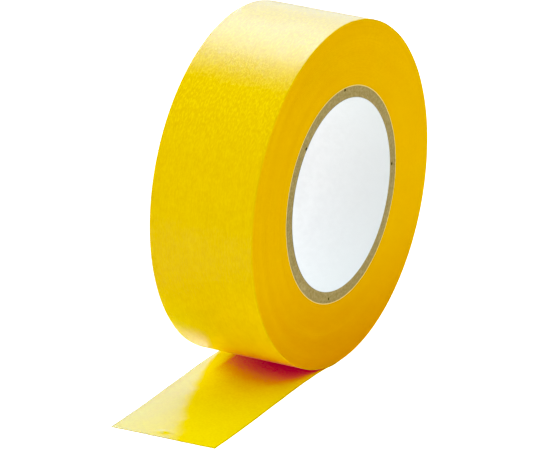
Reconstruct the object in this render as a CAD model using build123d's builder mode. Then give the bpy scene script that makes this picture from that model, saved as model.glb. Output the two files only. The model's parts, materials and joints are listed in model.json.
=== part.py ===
"""Masking tape roll: thin yellow paper tape wound on a spiral-wound paperboard core, with a paid-out tail.

The roll stands on its tread. Its bore runs along Y, the origin is the bore's centre at mid-width, and +Z is
up. The outermost lap comes down the +X side, passes under the roll and leaves it towards -X as a flat tail
whose sticky side faces up. All sizes are in millimetres.
"""

import os
from math import cos, radians, sin, tan

from build123d import *

# Roll
roll_diameter = 55.0
tape_width = 18.0
bore_diameter = 30.4

# Tape: a creped paper backing carries the adhesive on the side that faces the core.
backing_thickness = 0.055
adhesive_thickness = 0.025
lap_clearance = 0.02
lap_end_margin = 5.0

# Core: white inner liner, chipboard plies and a pale outer liner, each a strip wound as a helix.
# Every ply is parted where its two edges butt; the angles are those of the gaps on the -Y end.
liner_thickness = 0.12
ply_thickness = 0.44
ply_gap = 0.5
seam_pitch = 112.0
ply_gap_angles = {"core_ply_1": 135.0, "core_ply_2": 0.0, "core_ply_3": -103.5, "core_ply_4": 86.7}

# Tail: runs flat along the floor and drifts slightly towards -Y as it goes.
tail_length = 40.8
fold_distance = 20.0
drift_angle = 1.64

# Radii, worked out from the sizes above
roll_radius = roll_diameter / 2
bore_radius = bore_diameter / 2
glue_line_radius = roll_radius - backing_thickness
lap_inner_radius = glue_line_radius - adhesive_thickness
pack_radius = lap_inner_radius - lap_clearance
first_ply_radius = bore_radius + liner_thickness
last_ply_radius = first_ply_radius + len(ply_gap_angles) * ply_thickness
core_radius = last_ply_radius + liner_thickness

half_width = tape_width / 2
contact_angle = -90.0
seam_twist = 360 * tape_width / seam_pitch

# X runs across this plane and Z runs up it, and it faces -Y.
near_side = Plane(origin=(0, -half_width, 0), x_dir=(1, 0, 0), z_dir=(0, -1, 0))


def tail_edge_point(x, side):
    """Point of the tail's edge at a given X, on its +Y side (side 1) or its -Y side (side -1)."""
    return (x, side * half_width + x * tan(radians(drift_angle)))


def tail_end_point(side):
    """Corner of the tail's cut end, which is square to the run of the strip."""
    along = -tail_length * cos(radians(drift_angle)) - side * half_width * sin(radians(drift_angle))
    return tail_edge_point(along, side)


contact_line = [tail_edge_point(0, 1), tail_edge_point(0, -1)]
fold_line = [tail_edge_point(-fold_distance, -1), tail_edge_point(-fold_distance, 1)]
end_line = [tail_end_point(1), tail_end_point(-1)]
run_outline = contact_line + fold_line
end_outline = fold_line + end_line


def tube(inner_radius, outer_radius):
    """Ring of the full tape width around the roll's axis."""
    with BuildPart() as ring:
        with BuildSketch(near_side):
            Circle(outer_radius)
            Circle(inner_radius, mode=Mode.SUBTRACT)
        extrude(amount=-tape_width)
    return ring.part


def seam_blade(inner_radius, outer_radius, start_angle):
    """Twisted blade as wide as the gap between a ply's two edges, which follows the ply's helix."""
    depth = (outer_radius - inner_radius) * 1.5
    with BuildSketch(near_side) as section:
        with PolarLocations((inner_radius + outer_radius) / 2, 1, start_angle=start_angle):
            Rectangle(depth, ply_gap)
    foot = near_side.origin
    along = (0, tape_width, 0)
    return Solid.extrude_linear_with_rotation(section.sketch.face(), foot, along, seam_twist)


def lap(inner_radius, outer_radius):
    """One layer of the outermost lap, from the floor up the +X side and round to just above the tail."""
    with BuildPart() as layer:
        with BuildSketch(near_side):
            with BuildLine():
                outside = CenterArc((0, 0), outer_radius, contact_angle, 360 - lap_end_margin)
                inside = CenterArc((0, 0), inner_radius, contact_angle, 360 - lap_end_margin)
                Line(outside @ 0, inside @ 0)
                Line(outside @ 1, inside @ 1)
            make_face()
        extrude(amount=-tape_width)
    return layer.part


def flat_strip(bottom, thickness, outline):
    """Level strip with the given plan outline."""
    with BuildPart() as strip:
        with BuildSketch(Plane.XY.offset(bottom)):
            with BuildLine():
                Polyline(*outline, close=True)
            make_face()
        extrude(amount=thickness)
    return strip.part


def write(builder, node):
    """Label a finished piece and write its STEP file."""
    builder.part.label = node
    export_step(builder.part, f"parts/{node}.step")


os.makedirs("parts", exist_ok=True)

# Core, from the bore outwards
with BuildPart() as core_inner_liner:
    add(tube(bore_radius, first_ply_radius))
write(core_inner_liner, "core_inner_liner")

ply_inner_radius = first_ply_radius
for node, gap_angle in ply_gap_angles.items():
    ply_outer_radius = ply_inner_radius + ply_thickness
    with BuildPart() as core_ply:
        add(tube(ply_inner_radius, ply_outer_radius))
        add(seam_blade(ply_inner_radius, ply_outer_radius, gap_angle), mode=Mode.SUBTRACT)
    write(core_ply, node)
    ply_inner_radius = ply_outer_radius

with BuildPart() as core_outer_liner:
    add(tube(last_ply_radius, core_radius))
write(core_outer_liner, "core_outer_liner")

# Every lap below the outermost one
with BuildPart() as wound_tape:
    add(tube(core_radius, pack_radius))
write(wound_tape, "wound_tape")

# Outermost lap, in two layers
with BuildPart() as outer_lap_backing:
    add(lap(glue_line_radius, roll_radius))
write(outer_lap_backing, "outer_lap_backing")

with BuildPart() as outer_lap_adhesive:
    add(lap(lap_inner_radius, glue_line_radius))
write(outer_lap_adhesive, "outer_lap_adhesive")

# Flat run of the tail, from where the lap touches the floor to the fold line
with BuildPart() as tail_backing:
    add(flat_strip(-roll_radius, backing_thickness, run_outline))
write(tail_backing, "tail_backing")

with BuildPart() as tail_adhesive:
    add(flat_strip(-glue_line_radius, adhesive_thickness, run_outline))
write(tail_adhesive, "tail_adhesive")

# Free end of the tail, beyond the fold line
with BuildPart() as tail_end_backing:
    add(flat_strip(-roll_radius, backing_thickness, end_outline))
write(tail_end_backing, "tail_end_backing")

with BuildPart() as tail_end_adhesive:
    add(flat_strip(-glue_line_radius, adhesive_thickness, end_outline))
write(tail_end_adhesive, "tail_end_adhesive")
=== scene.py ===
"""Looks of the masking tape roll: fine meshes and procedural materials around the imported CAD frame.

Lengths are metres in the frame's own axes: the bore runs along Y, +Z is up and the tail runs to -X.
"""

import json
import math

import bmesh
import bpy
import numpy as np
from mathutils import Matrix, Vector


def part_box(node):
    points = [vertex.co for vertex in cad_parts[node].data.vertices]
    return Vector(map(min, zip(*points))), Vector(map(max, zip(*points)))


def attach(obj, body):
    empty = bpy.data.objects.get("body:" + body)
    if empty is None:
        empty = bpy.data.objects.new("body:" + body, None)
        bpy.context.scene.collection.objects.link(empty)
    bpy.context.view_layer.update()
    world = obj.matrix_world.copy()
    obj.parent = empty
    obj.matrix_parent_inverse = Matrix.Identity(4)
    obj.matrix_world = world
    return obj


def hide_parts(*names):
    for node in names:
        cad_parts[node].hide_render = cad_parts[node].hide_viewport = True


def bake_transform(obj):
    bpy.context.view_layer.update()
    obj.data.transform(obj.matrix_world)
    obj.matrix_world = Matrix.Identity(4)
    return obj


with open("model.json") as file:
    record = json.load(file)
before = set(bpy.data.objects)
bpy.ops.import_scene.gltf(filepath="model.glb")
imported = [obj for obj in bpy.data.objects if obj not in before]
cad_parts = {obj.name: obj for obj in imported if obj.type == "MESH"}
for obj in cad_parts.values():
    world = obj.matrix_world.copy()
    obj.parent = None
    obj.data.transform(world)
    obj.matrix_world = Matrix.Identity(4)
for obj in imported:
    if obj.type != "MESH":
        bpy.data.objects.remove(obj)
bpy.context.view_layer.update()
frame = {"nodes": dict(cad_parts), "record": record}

MM = 0.001
FULL_TURN = 2 * math.pi
CONTACT = -math.pi / 2


# ---------------------------------------------------------------- sizes from the frame

def radius_of(node):
    """Outside radius of a ring node."""
    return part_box(node)[1].x


def plan_corner(node, toward_x, toward_y):
    """Corner of a flat node that lies furthest along a plan direction."""
    points = [v.co for v in frame["nodes"][node].data.vertices]
    best = max(points, key=lambda p: toward_x * p.x + toward_y * p.y)
    return np.array([best.x, best.y])


def gap_wall_angles(node):
    """Angle of each wall facet of a ply's gap, with the facet's Y."""
    found = []
    for face in frame["nodes"][node].data.polygons:
        middle = face.center
        angle = math.atan2(middle.z, middle.x)
        around = Vector((-math.sin(angle), 0, math.cos(angle)))
        if abs(face.normal.dot(around)) > 0.6:
            found.append((angle, middle.y))
    return found


def seam_of(node):
    """Angle of a ply's gap on the -Y end, and how far it turns on the way to the +Y end."""
    walls = np.array(gap_wall_angles(node))
    angle = np.unwrap(walls[np.argsort(walls[:, 1]), 0])
    depth = np.sort(walls[:, 1])
    slope, at_middle = np.polyfit(depth, angle, 1)
    return at_middle - slope * half_width, slope * 2 * half_width


bore_mount = next(m for m in frame["record"]["mounts"] if m["name"] == "core_bore")
bore_radius = bore_mount["dims"]["r_mm"] * MM
half_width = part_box("wound_tape")[1].y
liner_radius = radius_of("core_inner_liner")
core_radius = radius_of("core_outer_liner")
pack_radius = radius_of("wound_tape")
glue_radius = radius_of("outer_lap_adhesive")
roll_radius = radius_of("outer_lap_backing")
floor_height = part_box("tail_backing")[0].z
glue_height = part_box("tail_backing")[1].z
film_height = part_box("tail_adhesive")[1].z
tape_thickness = film_height - floor_height
PLIES = ["core_ply_1", "core_ply_2", "core_ply_3", "core_ply_4"]


# ---------------------------------------------------------------- mesh helpers

def ripples(points, wavelength, seed, waves=28):
    """Smooth noise of unit RMS: cosine waves in random directions. points is an array of (..., 3)."""
    rng = np.random.default_rng(seed)
    scaled = np.asarray(points) / np.asarray(wavelength)
    total = np.zeros(scaled.shape[:-1])
    for _ in range(waves):
        direction = rng.normal(size=scaled.shape[-1])
        direction *= rng.uniform(0.6, 1.5) / np.linalg.norm(direction)
        total += np.cos(FULL_TURN * (scaled @ direction + rng.random()))
    return total * math.sqrt(2 / waves)


def smooth_step(low, high, x):
    t = np.clip((x - low) / (high - low), 0, 1)
    return t * t * (3 - 2 * t)


def grid_faces(columns, rows, wrap_columns, wrap_rows):
    """Quads over a grid of columns x rows vertices, stored column by column."""
    j = np.arange(columns if wrap_columns else columns - 1)
    i = np.arange(rows if wrap_rows else rows - 1)
    jj, ii = np.meshgrid(j, i, indexing="ij")
    j2, i2 = (jj + 1) % columns, (ii + 1) % rows
    quads = np.stack([jj * rows + ii, j2 * rows + ii, j2 * rows + i2, jj * rows + i2], axis=-1)
    return quads.reshape(-1, 4).tolist()


def make_piece(name, points, faces, grain, material):
    """Mesh object with outward normals, smooth shading and a texture coordinate in millimetres."""
    mesh = bpy.data.meshes.new(name)
    mesh.from_pydata(points.reshape(-1, 3).tolist(), [], faces)
    bm = bmesh.new()
    bm.from_mesh(mesh)
    bmesh.ops.recalc_face_normals(bm, faces=bm.faces)
    bm.to_mesh(mesh)
    bm.free()
    mesh.polygons.foreach_set("use_smooth", [True] * len(mesh.polygons))
    mesh.set_sharp_from_angle(angle=math.radians(50))
    layer = mesh.attributes.new("grain", "FLOAT_VECTOR", "POINT")
    layer.data.foreach_set("vector", (grain.reshape(-1, 3) / MM).astype(np.float32).ravel())
    mesh.materials.append(material)
    piece = bpy.data.objects.new(name, mesh)
    bpy.context.scene.collection.objects.link(piece)
    return piece


def ring_grid(profile, columns, start=0.0, sweep=FULL_TURN, twist=0.0):
    """Angle, radius and Y of every vertex of a profile swept round the roll's axis.
    The profile is a closed loop of (radius, y). twist turns the +Y end ahead of the -Y end."""
    whole = sweep >= FULL_TURN
    steps = np.arange(columns if whole else columns + 1) / columns
    radius = np.tile(profile[:, 0], (len(steps), 1))
    y = np.tile(profile[:, 1], (len(steps), 1))
    angle = start + sweep * steps[:, None] + twist * (y / half_width + 1) / 2
    return angle, radius, y, whole


def ring_points(angle, radius, y):
    return np.stack([radius * np.cos(angle), y, radius * np.sin(angle)], axis=-1)


def ring_piece(name, grid, material, grain=None):
    """Piece from a swept grid. An open sweep gets a flat cap at each end."""
    angle, radius, y, whole = grid
    columns, rows = angle.shape
    faces = grid_faces(columns, rows, whole, True)
    if not whole:
        faces.append(list(range(rows)))
        faces.append([(columns - 1) * rows + i for i in reversed(range(rows))])
    points = ring_points(angle, radius, y)
    return make_piece(name, points, faces, points if grain is None else grain, material)


def rectangle_profile(inner, outer, radial_steps, width_steps_out, width_steps_in):
    """Closed loop round a rectangular section: outer wall, -Y end, inner wall, +Y end."""
    out = np.linspace(half_width, -half_width, width_steps_out + 1)[:-1]
    down = np.linspace(outer, inner, radial_steps + 1)[:-1]
    back = np.linspace(-half_width, half_width, width_steps_in + 1)[:-1]
    up = np.linspace(inner, outer, radial_steps + 1)[:-1]
    return np.concatenate([
        np.column_stack([np.full_like(out, outer), out]),
        np.column_stack([down, np.full_like(down, -half_width)]),
        np.column_stack([np.full_like(back, inner), back]),
        np.column_stack([up, np.full_like(up, half_width)]),
    ])


# ---------------------------------------------------------------- material helpers

class Shader:
    """Short way to write a node material."""

    def __init__(self, name):
        self.material = bpy.data.materials.new(name)
        self.material.use_nodes = True
        self.tree = self.material.node_tree
        self.surface = self.tree.nodes["Principled BSDF"]
        self.output = self.tree.nodes["Material Output"]

    def node(self, kind, inputs=None, **settings):
        made = self.tree.nodes.new(kind)
        for key, value in settings.items():
            setattr(made, key, value)
        for key, value in (inputs or {}).items():
            self.feed(made.inputs[key], value)
        return made

    def feed(self, socket, value):
        if isinstance(value, bpy.types.NodeSocket):
            self.tree.links.new(value, socket)
        else:
            socket.default_value = value

    def set(self, **values):
        for key, value in values.items():
            self.feed(self.surface.inputs[key.replace("_", " ")], value)

    def math(self, operation, a, b=0.0, c=0.0):
        return self.node("ShaderNodeMath", {0: a, 1: b, 2: c}, operation=operation).outputs[0]

    def grain(self, scale=(1, 1, 1)):
        """The piece's own coordinate in millimetres, stretched."""
        source = self.node("ShaderNodeAttribute", attribute_name="grain").outputs["Vector"]
        mapped = self.node("ShaderNodeMapping", {"Vector": source, "Scale": scale})
        return mapped.outputs["Vector"]

    def place(self, axis):
        """One part of the piece's own coordinate: 0 is along the tape or X, 1 is Y, 2 is radius or Z."""
        return self.node("ShaderNodeSeparateXYZ", {0: self.grain()}).outputs[axis]

    def noise(self, vector, scale, detail=3.0, roughness=0.55, distortion=0.0):
        inputs = {"Vector": vector, "Scale": scale, "Detail": detail, "Roughness": roughness,
                  "Distortion": distortion}
        return self.node("ShaderNodeTexNoise", inputs).outputs[0]

    def ramp(self, value, low, high, to_low=0.0, to_high=1.0, smooth=True):
        inputs = {"Value": value, "From Min": low, "From Max": high, "To Min": to_low, "To Max": to_high}
        kind = "SMOOTHSTEP" if smooth else "LINEAR"
        return self.node("ShaderNodeMapRange", inputs, interpolation_type=kind).outputs[0]

    def mix(self, factor, a, b, blend="MIX"):
        made = self.node("ShaderNodeMix", data_type="RGBA", blend_type=blend)
        self.feed(made.inputs[0], factor)
        for socket, value in ((made.inputs[6], a), (made.inputs[7], b)):
            self.feed(socket, (*value, 1.0) if isinstance(value, tuple) and len(value) == 3 else value)
        return made.outputs[2]

    def bump(self, height, depth, below=None):
        """Bump of a given depth in metres for a height of 0 to 1."""
        inputs = {"Height": height, "Distance": depth, "Strength": 1.0}
        if below is not None:
            inputs["Normal"] = below
        return self.node("ShaderNodeBump", inputs).outputs[0]

    def occlusion(self, reach):
        """0 in the open and 1 deep in a crevice."""
        shade = self.node("ShaderNodeAmbientOcclusion", {"Distance": reach}, samples=8)
        return self.math("SUBTRACT", 1.0, shade.outputs["AO"])


# ---------------------------------------------------------------- materials

# Linear colours. A pair is the two ends of a mottled tone. Glows are painted light: emission that adds the
# light the softboxes don't bring to the lower tread and the nip.
NO_GLOW = (0.0, 0.0, 0.0)
PAPER_TONES = (0.755, 0.495, 0.0006), (0.785, 0.54, 0.0012)
PAPER_STREAK = (0.70, 0.445, 0.0005)
PAPER_SPECK_AND_GLINT = (0.87, 0.66, 0.018)
PAPER_GLOW = (0.11, 0.07, 0.0)
PAPER_LOW_GLOW = (0.11, 0.16, 0.0)
FILM_TONES = (0.775, 0.595, 0.0006), (0.815, 0.655, 0.001)
FILM_RIM_SHADE = (0.42, 0.33, 0.001)
FILM_GLOW = (0.06, 0.04, 0.0)
FILM_FAR_GLOW = (0.19, 0.22, 0.0)
LAP_TONES = (0.775, 0.45, 0.0004), (0.80, 0.475, 0.0006)
LAP_FUZZ = (0.86, 0.54, 0.001)
LAP_CLOUD = (0.80, 0.43, 0.0004)
LAP_RIM_HIGHLIGHT = (0.84, 0.60, 0.006)
LAP_AT_CORE = (0.66, 0.42, 0.03)
LAP_FLOOR_SHADE = (0.66, 0.27, 0.001)
LINER_TONES = (0.85, 0.855, 0.86), (0.885, 0.89, 0.895)
LINER_NEAR_END_SHADE = (0.73, 0.755, 0.755)
LINER_GLUED = (0.10, 0.08, 0.03)
# Dark pulp, light pulp and pale fleck.
BOARD_TONES = (0.31, 0.238, 0.09), (0.43, 0.337, 0.145), (0.50, 0.40, 0.19)
KRAFT_TONES = (0.80, 0.60, 0.22), (0.86, 0.67, 0.27), (0.92, 0.76, 0.36)
BOARD_GAP_SHADE = (0.05, 0.04, 0.012)

# Painted bounce light, set by occlusion: light that has bounced often between yellow faces, orange red on
# the paper, deep red on the film.
PAPER_NIP_PAINTED_BOUNCE = (0.95, 0.18, 0.07)
PAPER_NIP_GLOW = (0.11, 0.035, 0.038)
FILM_NIP_PAINTED_BOUNCE = (0.75, 0.04, 0.06)
FILM_NIP_GLOW = (0.04, 0.015, 0.037)
NIP_REACH = 14 * MM
FLOOR_REACH = 22 * MM

# Bump depths
PAPER_FIBRE_DEPTH = 0.09 * MM
PAPER_CLOUD_DEPTH = 0.014 * MM
FILM_PULP_DEPTH = 0.014 * MM
FILM_CLOUD_DEPTH = 0.020 * MM
LAP_FUZZ_DEPTH = 0.012 * MM
BOARD_PULP_DEPTH = 0.05 * MM
LINER_FINE_DEPTH = 0.012 * MM
LINER_MOTTLE_DEPTH = 0.02 * MM


def arc_place(degrees):
    """Place along the outermost lap, in millimetres, of an angle round the roll."""
    return roll_radius / MM * math.radians(degrees)


def backing_paper():
    """Satin side of the tape: long-fibre creped paper with a release coat. Its pale specks are pulp specks
    with painted glints, strongest where the roll's shoulder catches the light, and painted bounce light
    reddens it where it closes on the tail."""
    s = Shader("tape_backing_paper")
    along = s.noise(s.grain((0.45, 4.5, 0.45)), 1.0, detail=4.0)
    cloud = s.noise(s.grain(), 0.9, detail=3.0)
    speck = s.noise(s.grain((0.55, 1.5, 0.55)), 2.7, detail=2.0)
    tone = s.mix(s.ramp(cloud, 0.3, 0.7), *PAPER_TONES)
    tone = s.mix(s.ramp(along, 0.35, 0.7, 0.0, 0.35), tone, PAPER_STREAK)
    # Painted highlight: the pale specks are painted stronger on the roll's shoulder, where the light catches
    # it.
    glint_zone = s.ramp(s.place(0), arc_place(162), arc_place(132), 0.25, 0.8)
    speck_and_glint = s.math("MULTIPLY", s.ramp(speck, 0.42, 0.70), glint_zone)
    tone = s.mix(speck_and_glint, tone, PAPER_SPECK_AND_GLINT)
    # Painted bounce light: the nip's orange red on the paper, set by occlusion and weaker on the open far
    # side.
    open_side = s.ramp(s.place(1), 1.0, 8.0, 0.0, -0.25, smooth=False)
    over_tail = s.ramp(s.place(0), arc_place(90), arc_place(150))
    shade = s.math("MULTIPLY", over_tail, s.math("ADD", s.occlusion(NIP_REACH), open_side))
    tone = s.mix(s.ramp(shade, 0.7, 0.95, 0.0, 0.85), tone, PAPER_NIP_PAINTED_BOUNCE)
    # Painted light: the paper glows where it closes on the tail, more strongly deeper in the nip.
    glow = s.mix(s.ramp(shade, 0.65, 0.92), PAPER_GLOW, PAPER_NIP_GLOW)
    glow = s.mix(s.ramp(shade, 0.15, 0.65), NO_GLOW, glow)
    # Painted light: a yellow glow on the lower tread's far side, where light reaches under the roll from
    # behind.
    under = s.ramp(s.place(0), arc_place(195), arc_place(222))
    lit_side = s.math("MULTIPLY", under, s.ramp(s.place(1), -2.0, 9.0))
    glow = s.mix(lit_side, glow, PAPER_LOW_GLOW, "ADD")
    s.set(Emission_Color=glow, Emission_Strength=1.0)
    fibre = s.math("ADD", s.math("MULTIPLY", along, 0.45), s.math("MULTIPLY", speck, 0.55))
    normal = s.bump(cloud, PAPER_CLOUD_DEPTH, s.bump(fibre, PAPER_FIBRE_DEPTH))
    s.set(Base_Color=tone, Roughness=s.ramp(speck, 0.3, 0.7, 0.28, 0.38), Specular_IOR_Level=0.5,
          Normal=normal)
    return s.material


def adhesive_film():
    """Glossy sticky side, with the paper showing through it. Painted bounce light reddens it in the nip
    under the roll, and a painted shade line darkens its cut edges."""
    s = Shader("tape_adhesive_film")
    cloud = s.noise(s.grain(), 0.45, detail=2.0)
    pulp = s.noise(s.grain(), 2.6, detail=4.0)
    tone = s.mix(s.ramp(pulp, 0.3, 0.7), *FILM_TONES)
    # Painted bounce light: the nip's deep red from occlusion, less red on the lit far side, redder on the
    # dim near side.
    closed = s.occlusion(NIP_REACH)
    lit_side = s.ramp(s.place(1), 5.2, 8.0, 0.02, -0.45, smooth=False)
    dim_side = s.ramp(s.place(1), -6.0, 1.0, 0.08, 0.0, smooth=False)
    shade = s.math("ADD", closed, s.math("ADD", lit_side, dim_side))
    nip = s.ramp(shade, 0.76, 0.91, 0.0, 0.95)
    tone = s.mix(nip, tone, FILM_NIP_PAINTED_BOUNCE)
    # Painted light: the film glows in the nip, and a yellow glow lights its far side where light comes from
    # behind.
    glow = s.mix(s.ramp(shade, 0.70, 0.88), FILM_GLOW, FILM_NIP_GLOW)
    far = s.math("MULTIPLY", s.ramp(s.place(1), 0.0, 7.0), s.math("SUBTRACT", 1.0, nip))
    glow = s.mix(far, glow, FILM_FAR_GLOW)
    s.set(Emission_Color=glow, Emission_Strength=s.ramp(closed, 0.15, 0.65))
    # Painted shade: a dark line along the cut edges, where the strip's edge and the gap under it are in
    # shadow.
    rim = s.node("ShaderNodeAttribute", attribute_name="rim").outputs["Fac"]
    tone = s.mix(s.ramp(rim, 0.0, 1.0, 0.0, 0.85), tone, FILM_RIM_SHADE)
    normal = s.bump(cloud, FILM_CLOUD_DEPTH, s.bump(pulp, FILM_PULP_DEPTH))
    s.set(Base_Color=tone, Roughness=s.ramp(pulp, 0.3, 0.7, 0.16, 0.22), Normal=normal,
          Specular_IOR_Level=s.ramp(s.place(1), 0.5, 6.5, 0.25, 0.5))
    return s.material


def lap_edges():
    """Slit side face of the wound pack: many thin paper edges, with a painted highlight paler at the rim and
    painted shade, browner, by the floor.
    """
    s = Shader("wound_lap_edges")
    place = s.node("ShaderNodeSeparateXYZ", {0: s.grain()})
    radius = place.outputs[2]
    ring_place = s.node("ShaderNodeCombineXYZ", {0: radius, 1: 0.0, 2: 0.0}).outputs[0]
    ring = s.noise(ring_place, 5.0, detail=3.0)
    fuzz = s.noise(s.node("ShaderNodeTexCoord").outputs["Object"], 1900.0, detail=3.0)
    cloud = s.noise(s.node("ShaderNodeTexCoord").outputs["Object"], 120.0, detail=2.0)
    tone = s.mix(s.ramp(ring, 0.3, 0.7), *LAP_TONES)
    tone = s.mix(s.ramp(fuzz, 0.3, 0.75, 0.0, 0.5), tone, LAP_FUZZ)
    tone = s.mix(s.ramp(cloud, 0.3, 0.7, 0.0, 0.25), tone, LAP_CLOUD)
    # Painted highlight: paler at the rim, where the rounded edges catch the light.
    rim = s.ramp(radius, (pack_radius / MM) - 0.45, pack_radius / MM, 0.0, 0.45)
    tone = s.mix(rim, tone, LAP_RIM_HIGHLIGHT)
    core_edge = s.ramp(radius, core_radius / MM, core_radius / MM + 0.4, 0.5, 0.0)
    tone = s.mix(core_edge, tone, LAP_AT_CORE)
    # Painted shade: darker and browner near the floor, set by occlusion.
    low = s.ramp(s.occlusion(FLOOR_REACH), 0.06, 0.48, smooth=False)
    tone = s.mix(low, tone, LAP_FLOOR_SHADE)
    normal = s.bump(fuzz, LAP_FUZZ_DEPTH)
    s.set(Base_Color=tone, Roughness=0.62, Specular_IOR_Level=0.1, Normal=normal)
    return s.material


def board(name, dark, light, fleck):
    """Cut edge of board or kraft paper: pulp with darker and paler fibres, with painted shade dark deeper
    inside a gap.
    """
    s = Shader(name)
    where = s.node("ShaderNodeTexCoord").outputs["Object"]
    pulp = s.noise(where, 2600.0, detail=4.0, roughness=0.65)
    cloud = s.noise(where, 500.0, detail=2.0)
    tone = s.mix(s.ramp(pulp, 0.32, 0.7), dark, light)
    tone = s.mix(s.ramp(cloud, 0.62, 0.75, 0.0, 0.5), tone, fleck)
    # Painted shade: dark away from the cut ends, deeper inside a ply's gap.
    depth = s.node("ShaderNodeVectorMath", {0: s.grain((0, 1, 0))}, operation="LENGTH").outputs["Value"]
    inside = s.ramp(depth, half_width / MM - 0.16, half_width / MM - 0.06, 1.0, 0.0)
    tone = s.mix(inside, tone, BOARD_GAP_SHADE)
    normal = s.bump(pulp, BOARD_PULP_DEPTH)
    s.set(Base_Color=tone, Roughness=0.9, Specular_IOR_Level=0.1, Normal=normal)
    return s.material


def white_paper():
    """Bleached liner: faintly mottled and cool, with painted shade greyer towards the bore's -Y end. Its
    hidden side is brown with glue.
    """
    s = Shader("white_liner_paper")
    where = s.node("ShaderNodeTexCoord").outputs["Object"]
    mottle = s.noise(where, 900.0, detail=5.0, roughness=0.65)
    fine = s.noise(where, 2200.0, detail=3.0)
    tone = s.mix(s.ramp(mottle, 0.3, 0.7), *LINER_TONES)
    # Painted shade: greyer toward the bore's -Y end, as the brighter light comes in from the +Y end.
    tone = s.mix(s.ramp(s.place(1), -9.0, 4.0, 0.9, 0.0, smooth=False), tone, LINER_NEAR_END_SHADE)
    radius = s.node("ShaderNodeVectorMath", {0: s.grain((1, 0, 1))}, operation="LENGTH").outputs["Value"]
    glued = s.ramp(radius, liner_radius / MM - 0.04, liner_radius / MM - 0.01, smooth=False)
    tone = s.mix(glued, tone, LINER_GLUED)
    normal = s.bump(mottle, LINER_MOTTLE_DEPTH, s.bump(fine, LINER_FINE_DEPTH))
    s.set(Base_Color=tone, Roughness=0.85, Specular_IOR_Level=0.15, Normal=normal)
    return s.material


# ---------------------------------------------------------------- core

LINER_STEP = 0.11 * MM
LINER_STEP_FADE = math.radians(42)
LINER_WRINKLE = 0.006 * MM
PLY_GAP = 0.5 * MM
PLY_SET_BACK = 0.03 * MM
PLY_TEAR = 0.018 * MM
PLY_TEAR_LENGTH = 0.35 * MM


def build_liner(seam_angle, twist):
    """White tube wall. Its helical seam is a lap joint, so the bore steps in there and eases back out."""
    profile = rectangle_profile(bore_radius, liner_radius, 1, 60, 130)
    grid = ring_grid(profile, 600, start=seam_angle, twist=twist)
    angle, radius, y, whole = grid
    turn_back = FULL_TURN * (1 - np.arange(len(angle)) / len(angle))[:, None]
    overlap = np.where(turn_back < FULL_TURN, 1 - smooth_step(0, LINER_STEP_FADE, turn_back), 0.0)
    inner = radius < (bore_radius + liner_radius) / 2
    wrinkle = ripples(ring_points(angle, radius, y), (3.0 * MM,) * 3, seed=11)
    radius = np.where(inner, radius - LINER_STEP * overlap + LINER_WRINKLE * wrinkle, radius)
    return ring_piece("core_liner_paper", (angle, radius, y, whole), white_paper())


def build_ply(node, inner, material, seed):
    """One chipboard ply with its helical butt gap and a rough cut edge on each side."""
    outer = radius_of(node)
    gap_angle, twist = seam_of(node)
    gap = PLY_GAP / ((inner + outer) / 2)
    profile = rectangle_profile(inner, outer, 5, 24, 24)
    grid = ring_grid(profile, 720, gap_angle + gap / 2, FULL_TURN - gap, twist)
    angle, radius, y, whole = grid
    at_end = np.abs(np.abs(y) - half_width) < 0.01 * MM
    torn = ripples(ring_points(angle, radius, y), (PLY_TEAR_LENGTH,) * 3, seed)
    y = y + np.where(at_end, np.sign(y) * (PLY_TEAR * torn - PLY_SET_BACK), 0)
    return ring_piece(node + "_board", (angle, radius, y, whole), material)


def build_core():
    """All the core's pieces, which turn with the roll."""
    first_seam, twist = seam_of(PLIES[0])
    liner = build_liner(first_seam, twist)
    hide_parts("core_inner_liner")
    pieces = [liner]
    inner = liner_radius
    for order, node in enumerate(PLIES):
        shade = 1.0 - 0.05 * (order % 2)
        tones = [tuple(shade * c for c in tone) for tone in BOARD_TONES]
        piece = build_ply(node, inner, board("chipboard_" + str(order + 1), *tones), 21 + order)
        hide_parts(node)
        pieces.append(piece)
        inner = radius_of(node)
    profile = rectangle_profile(inner, core_radius, 2, 2, 2)
    kraft = board("kraft_liner_paper", *KRAFT_TONES)
    outer = ring_piece("core_outer_liner_paper", ring_grid(profile, 720), kraft)
    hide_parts("core_outer_liner")
    pieces.append(outer)
    for piece in pieces:
        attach(piece, "roll")


# ---------------------------------------------------------------- wound pack

def lap_rows(inner, outer):
    """Radii down the side face: each lap has a groove and two shoulders. Also gives each row's lap, and
    whether the row is a groove."""
    laps = round((outer - inner) / tape_thickness)
    pitch = (outer - inner) / laps
    lap = np.repeat(np.arange(laps), 3)
    part = np.tile([0.0, 0.2, 0.8], laps)
    radii = np.append(inner + pitch * (lap + part), outer)
    return radii, np.append(lap, laps - 1), np.append(part == 0, True)


LAP_DRIFT = 0.014 * MM
LAP_JITTER = 0.0035 * MM
GROOVE_DEPTH = 0.014 * MM


def build_pack():
    """Every lap below the outermost. The laps' edges sit slightly in and out, as wound tape does."""
    radii, lap, groove = lap_rows(core_radius, pack_radius)
    count = len(radii)
    near = np.column_stack([radii[::-1], np.full(count, -half_width)])
    far = np.column_stack([radii, np.full(count, half_width)])
    angle, radius, y, whole = ring_grid(np.concatenate([near, far]), 300)
    lap = np.concatenate([lap[::-1], lap])[None, :] + np.zeros_like(y)
    groove = np.concatenate([groove[::-1], groove])[None, :]
    place = np.stack([np.cos(angle), np.sin(angle), lap], axis=-1)
    drift = LAP_DRIFT * ripples(place, (2.2, 2.2, 26.0), seed=5)
    jitter = LAP_JITTER * ripples(place, (1.5, 1.5, 2.3), seed=6)
    y = y + drift + jitter - np.sign(y) * np.where(groove, GROOVE_DEPTH, 0.0)
    grain = np.stack([angle * radius, y, radius], axis=-1)
    pack = ring_piece("wound_tape_laps", (angle, radius, y, whole), lap_edges(), grain)
    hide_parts("wound_tape")
    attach(pack, "roll")


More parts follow.
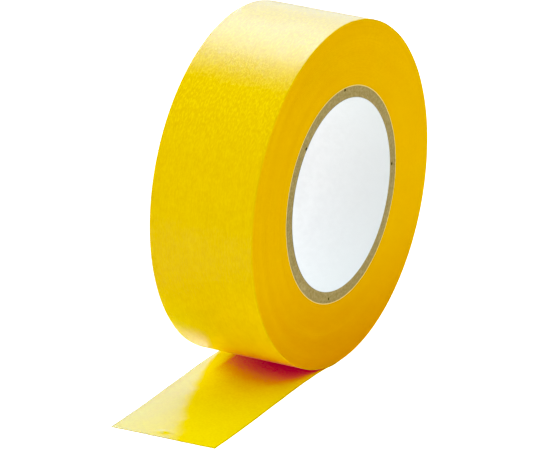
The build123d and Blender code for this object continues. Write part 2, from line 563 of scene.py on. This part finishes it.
# ---------------------------------------------------------------- outermost lap

LAP_SWEEP = math.radians(355)
LAP_SOFT_WANDER = 0.007 * MM
LAP_CREPE = 0.0016 * MM
LAP_EDGE_SOFTENING = 0.012 * MM


def lap_waviness(angle, y):
    """Outward wander of the outermost lap, fading to nothing where it touches the floor."""
    place = np.stack([roll_radius * np.cos(angle), y, roll_radius * np.sin(angle)], axis=-1)
    soft = ripples(place, (7 * MM, 5 * MM, 7 * MM), seed=31)
    crepe = ripples(place, (2.4 * MM, 0.55 * MM, 2.4 * MM), seed=32, waves=40)
    turned = angle - CONTACT
    free = smooth_step(0, math.radians(12), turned) * smooth_step(0, math.radians(20), LAP_SWEEP - turned)
    return free * (LAP_SOFT_WANDER * soft + LAP_CREPE * crepe)


def build_lap_layer(name, inner, outer, width_steps, material):
    """One layer of the outermost lap, with softly rounded cut edges."""
    soften = LAP_EDGE_SOFTENING
    across = np.linspace(half_width - soften, -half_width + soften, width_steps + 1)
    profile = np.array(
        [(outer, y) for y in across]
        + [(outer - soften, -half_width), (inner, -half_width), (inner, half_width),
           (outer - soften, half_width)]
    )
    angle, radius, y, whole = ring_grid(profile, 900, CONTACT, LAP_SWEEP)
    radius = radius + lap_waviness(angle, y)
    grain = np.stack([angle * roll_radius, y, radius], axis=-1)
    return ring_piece(name, (angle, radius, y, whole), material, grain)


def build_outer_lap(paper, film):
    backing = build_lap_layer("outer_lap_paper", glue_radius, roll_radius, 72, paper)
    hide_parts("outer_lap_backing")
    glue_inner = glue_radius - (film_height - glue_height)
    glue = build_lap_layer("outer_lap_glue", glue_inner, glue_radius, 2, film)
    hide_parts("outer_lap_adhesive")
    for piece in (backing, glue):
        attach(piece, "tail")


# ---------------------------------------------------------------- tail

BULGE_HEIGHT = 0.49 * MM
BULGE_CREST = 11 * MM
BULGE_FADE = 24 * MM, 37 * MM
BULGE_CLEARANCE = 0.02 * MM
TAIL_REST_HEIGHT = 0.028 * MM
TAIL_WAVES = 0.010 * MM
TAIL_RIPPLES = 0.0035 * MM
TAIL_COLUMNS, TAIL_ROWS = 221, 97
PUCKER_HEIGHT = 0.21 * MM
PUCKER_SIZE = 0.5 * MM, 0.75 * MM
PUCKER_FROM_END = 2.1 * MM
PUCKER_Y = -0.1 * MM


def peel_bulge(out):
    """Height the strip springs up to after it leaves the roll, at a distance out from the contact line."""
    along = out / BULGE_CREST
    spring = BULGE_HEIGHT * along ** 2 * np.exp(2 - 2 * along) * (1 - smooth_step(*BULGE_FADE, out))
    under_roll = roll_radius - np.sqrt(roll_radius ** 2 - np.minimum(out, 12 * MM) ** 2)
    room = np.maximum(under_roll - tape_thickness - BULGE_CLEARANCE, 0)
    return np.where(out > 0, np.minimum(spring, room), 0)


def tail_lift(x, y, length):
    """Height of the tail above the table: the bulge, faint waves and one small pucker near the cut end."""
    place = np.stack([x, y, np.zeros_like(x)], axis=-1)
    waves = TAIL_WAVES * ripples(place, (6 * MM, 5 * MM, 1), seed=41)
    small = TAIL_RIPPLES * ripples(place, (2.2 * MM, 1.6 * MM, 1), seed=42)
    free = smooth_step(2 * MM, 9 * MM, -x)
    across_x = (x + length - PUCKER_FROM_END) / PUCKER_SIZE[0]
    across_y = (y - PUCKER_Y) / PUCKER_SIZE[1]
    pucker = PUCKER_HEIGHT * np.exp(-across_x ** 2 - across_y ** 2)
    return peel_bulge(-x) + free * (TAIL_REST_HEIGHT + waves + small) + pucker


def rim_shade_strength(columns, rows):
    """Strength of the painted shade line on a sheet's cut edges: 1 on its outline, less one row in, and 0
    elsewhere, for its top and then for its bottom.
    """
    strength = np.ones((columns, rows))
    strength[1:-1, 1:-1] = 0.45
    strength[2:-2, 2:-2] = 0.0
    return np.tile(strength.ravel(), 2)


def build_tail_layer(name, bottom, top, material):
    """One layer of the whole tail, from the contact line to the cut end, as a thin closed sheet."""
    length = -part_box("tail_end_backing")[0].x
    starts = plan_corner("tail_backing", 1, -1), plan_corner("tail_backing", 1, 1)
    ends = plan_corner("tail_end_backing", -1, -1), plan_corner("tail_end_backing", -1, 1)
    columns, rows = TAIL_COLUMNS, TAIL_ROWS
    s = np.linspace(0, 1, columns)[:, None, None]
    t = np.linspace(0, 1, rows)[None, :, None]
    near = starts[0] + s * (ends[0] - starts[0])
    far = starts[1] + s * (ends[1] - starts[1])
    plan = near + t * (far - near)
    x, y = plan[..., 0], plan[..., 1]
    lift = tail_lift(x, y, length)
    upper = np.stack([x, y, top + lift], axis=-1)
    lower = np.stack([x, y, bottom + lift], axis=-1)
    count = columns * rows
    faces = grid_faces(columns, rows, False, False)
    faces += [[a + count for a in reversed(face)] for face in faces]
    rim = list(range(rows))
    rim += [j * rows + rows - 1 for j in range(1, columns)]
    rim += [(columns - 1) * rows + i for i in range(rows - 2, -1, -1)]
    rim += [j * rows for j in range(columns - 2, 0, -1)]
    for a, b in zip(rim, rim[1:] + rim[:1]):
        faces.append([a, b, b + count, a + count])
    points = np.concatenate([upper.reshape(-1, 3), lower.reshape(-1, 3)])
    piece = make_piece(name, points, faces, points.copy(), material)
    # The rim attribute holds the film's painted shade line along the cut edges.
    piece.data.attributes.new("rim", "FLOAT", "POINT").data.foreach_set("value", rim_shade_strength(columns, rows))
    return piece


def build_tail(paper, film):
    """The tail's two layers, each one sheet from the contact line to the cut end; the flat run stays on the
    floor.
    """
    backing = build_tail_layer("tail_paper", floor_height, glue_height, paper)
    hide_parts("tail_backing", "tail_end_backing")
    sticky = build_tail_layer("tail_glue", glue_height, film_height, film)
    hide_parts("tail_adhesive", "tail_end_adhesive")
    for piece in (backing, sticky):
        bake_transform(piece)


# ---------------------------------------------------------------- stage

FLOOR_HALF = 3.0
# The floor's own glow, and its share of what the camera sees and of what lights the roll.
FLOOR_GLOW = 1.8
FLOOR_GLOW_SEEN = 0.9
FLOOR_GLOW_CAST = 0.5
BACKDROP_WHITE = 1.1


def build_floor():
    """Pale floor that photographs almost shadowless. Reflections don't show it."""
    mesh = bpy.data.meshes.new("studio_floor")
    half, z = FLOOR_HALF, floor_height - 0.01 * MM
    corners = [(-half, -half, z), (half, -half, z), (half, half, z), (-half, half, z)]
    mesh.from_pydata(corners, [], [(0, 1, 2, 3)])
    floor = bpy.data.objects.new("studio_floor", mesh)
    floor.visible_glossy = False
    bpy.context.scene.collection.objects.link(floor)
    s = Shader("pale_floor")
    s.set(Base_Color=(0.80, 0.80, 0.79, 1), Roughness=0.9, Specular_IOR_Level=0.0)
    glow = s.node("ShaderNodeEmission", {"Color": (1, 1, 1, 1), "Strength": FLOOR_GLOW})
    seen = s.math("MULTIPLY", s.node("ShaderNodeLightPath").outputs["Is Camera Ray"], FLOOR_GLOW_SEEN)
    share = s.math("MAXIMUM", seen, FLOOR_GLOW_CAST)
    both = s.node("ShaderNodeMixShader", {0: share, 1: s.surface.outputs[0], 2: glow.outputs[0]})
    s.tree.links.new(both.outputs[0], s.output.inputs["Surface"])
    mesh.materials.append(s.material)


def build_backdrop():
    """White backdrop for the camera only. Lamps do the lighting."""
    world = bpy.data.worlds.new("white_backdrop")
    bpy.context.scene.world = world
    world.use_nodes = True
    tree = world.node_tree
    seen = tree.nodes.new("ShaderNodeLightPath").outputs["Is Camera Ray"]
    tree.links.new(seen, tree.nodes["Background"].inputs["Strength"])
    tree.nodes["Background"].inputs["Color"].default_value = (*(BACKDROP_WHITE,) * 3, 1)


def lamp(name, middle, facing, size, radiance, tint, for_gloss, sharp=False):
    """Rectangular softbox, for reflections only or for everything else. Its second side is the upright one.
    A sharp one is also found by rays that bounce off a smooth surface, so its reflection has less noise."""
    light = bpy.data.lights.new(name, "AREA")
    light.shape = "RECTANGLE"
    light.size, light.size_y = size
    light.color = tint
    light.energy = 4 * radiance * size[0] * size[1]
    light.cycles.use_multiple_importance_sampling = sharp
    holder = bpy.data.objects.new(name, light)
    holder.location = middle
    holder.rotation_mode = "QUATERNION"
    holder.rotation_quaternion = (-Vector(facing)).to_track_quat("Z", "Y")
    holder.visible_diffuse = not for_gloss
    holder.visible_glossy = for_gloss
    holder.visible_camera = False
    bpy.context.scene.collection.objects.link(holder)


ROOM = 3.0
OVERHEAD_RADIANCE = 1.19
OVERHEAD_TINT = (0.95, 1.05, 1.10)
# Name, direction from the roll in X and Y, and radiance.
WALLS = (
    ("wall_left", (-1, 0), 0.48),
    ("wall_right", (1, 0), 0.72),
    ("wall_front", (0, -1), 0.50),
    ("wall_back", (0, 1), 1.45),
)
WALL_TINT = (1.0, 0.96, 0.93)


def build_room():
    """Soft light from overhead and from four sides, strongest overhead and behind."""
    half = ROOM / 2
    lamp("overhead", (0, 0, half), (0, 0, -1), (ROOM, ROOM), OVERHEAD_RADIANCE, OVERHEAD_TINT, False)
    for name, (x, y), radiance in WALLS:
        middle = (x * half, y * half, half / 2)
        lamp(name, middle, (-x, -y, 0), (ROOM, half), radiance, WALL_TINT, False)


# Blue tints turn the yellow tape's reflection pale, as the highlight is in the photo.
LOW_GLOSS_TINT = (0.30, 0.53, 1.0)
GLOSS_TINT = (0.33, 0.60, 1.0)
# Name, lowest and highest angle in degrees, radiance, tint, and whether it is sharp.
STRIPS = (
    ("low_strip", -6, 34, 2.1, LOW_GLOSS_TINT, True),
    ("middle_strip", 34, 50, 5.4, GLOSS_TINT, False),
    ("high_strip", 50, 77, 6.3, GLOSS_TINT, False),
)
CARD_PLACE = 24 * MM, 49.5 * MM
CARD_SIDE = 80 * MM
CARD_RADIANCE = 1.45
CARD_TINT = (1.0, 1.0, 0.8)


def strip_lamp(name, low, high, radiance, tint, sharp):
    """Reflection softbox parallel to the roll's axis, between two angles round it, on its +X side."""
    middle, half = math.radians((low + high) / 2), math.radians((high - low) / 2)
    way = Vector((math.cos(middle), 0, math.sin(middle)))
    size = (1.2, 2 * math.tan(half))
    lamp(name, way + Vector((0, 0.6, 0)), -way, size, radiance, tint, True, sharp)


def floor_card():
    """Card lying beside the roll at floor height. The underside of the tread reflects it."""
    middle = (*CARD_PLACE, floor_height)
    lamp("floor_card", middle, (0, 0, 1), (CARD_SIDE, CARD_SIDE), CARD_RADIANCE, CARD_TINT, True)


CAMERA_AZIMUTH = math.radians(-60.085)
CAMERA_ELEVATION = math.radians(20.439)
CAMERA_DISTANCE = 957.6 * MM
CAMERA_AIM = Vector((-3.526, 1.733, -5.881)) * MM
CAMERA_LENS = 412.3
BLACK_POINT = 0.029


def build_camera():
    """Long lens, looking down at the roll from the tail's side."""
    level = math.cos(CAMERA_ELEVATION)
    back = Vector((math.sin(CAMERA_AZIMUTH) * level, -math.cos(CAMERA_AZIMUTH) * level,
                   math.sin(CAMERA_ELEVATION)))
    data = bpy.data.cameras.new("camera")
    data.lens = CAMERA_LENS
    data.sensor_width = 36.0
    data.clip_start = 0.05
    data.clip_end = 10.0
    camera = bpy.data.objects.new("camera", data)
    camera.location = back * CAMERA_DISTANCE
    camera.rotation_mode = "QUATERNION"
    camera.rotation_quaternion = (camera.location - CAMERA_AIM).to_track_quat("Z", "Y")
    bpy.context.scene.collection.objects.link(camera)
    bpy.context.scene.camera = camera


def build_grade():
    """Plain display transform with a raised black point, as in a cut-out product photograph."""
    view = bpy.context.scene.view_settings
    view.view_transform = "Standard"
    view.use_curve_mapping = True
    view.curve_mapping.black_level = (BLACK_POINT,) * 3
    view.curve_mapping.update()


def build_stage():
    build_floor()
    build_backdrop()
    build_room()
    for strip in STRIPS:
        strip_lamp(*strip)
    floor_card()
    build_camera()
    build_grade()


# ---------------------------------------------------------------- the object

paper = backing_paper()
film = adhesive_film()
build_core()
build_pack()
build_outer_lap(paper, film)
build_tail(paper, film)
build_stage()
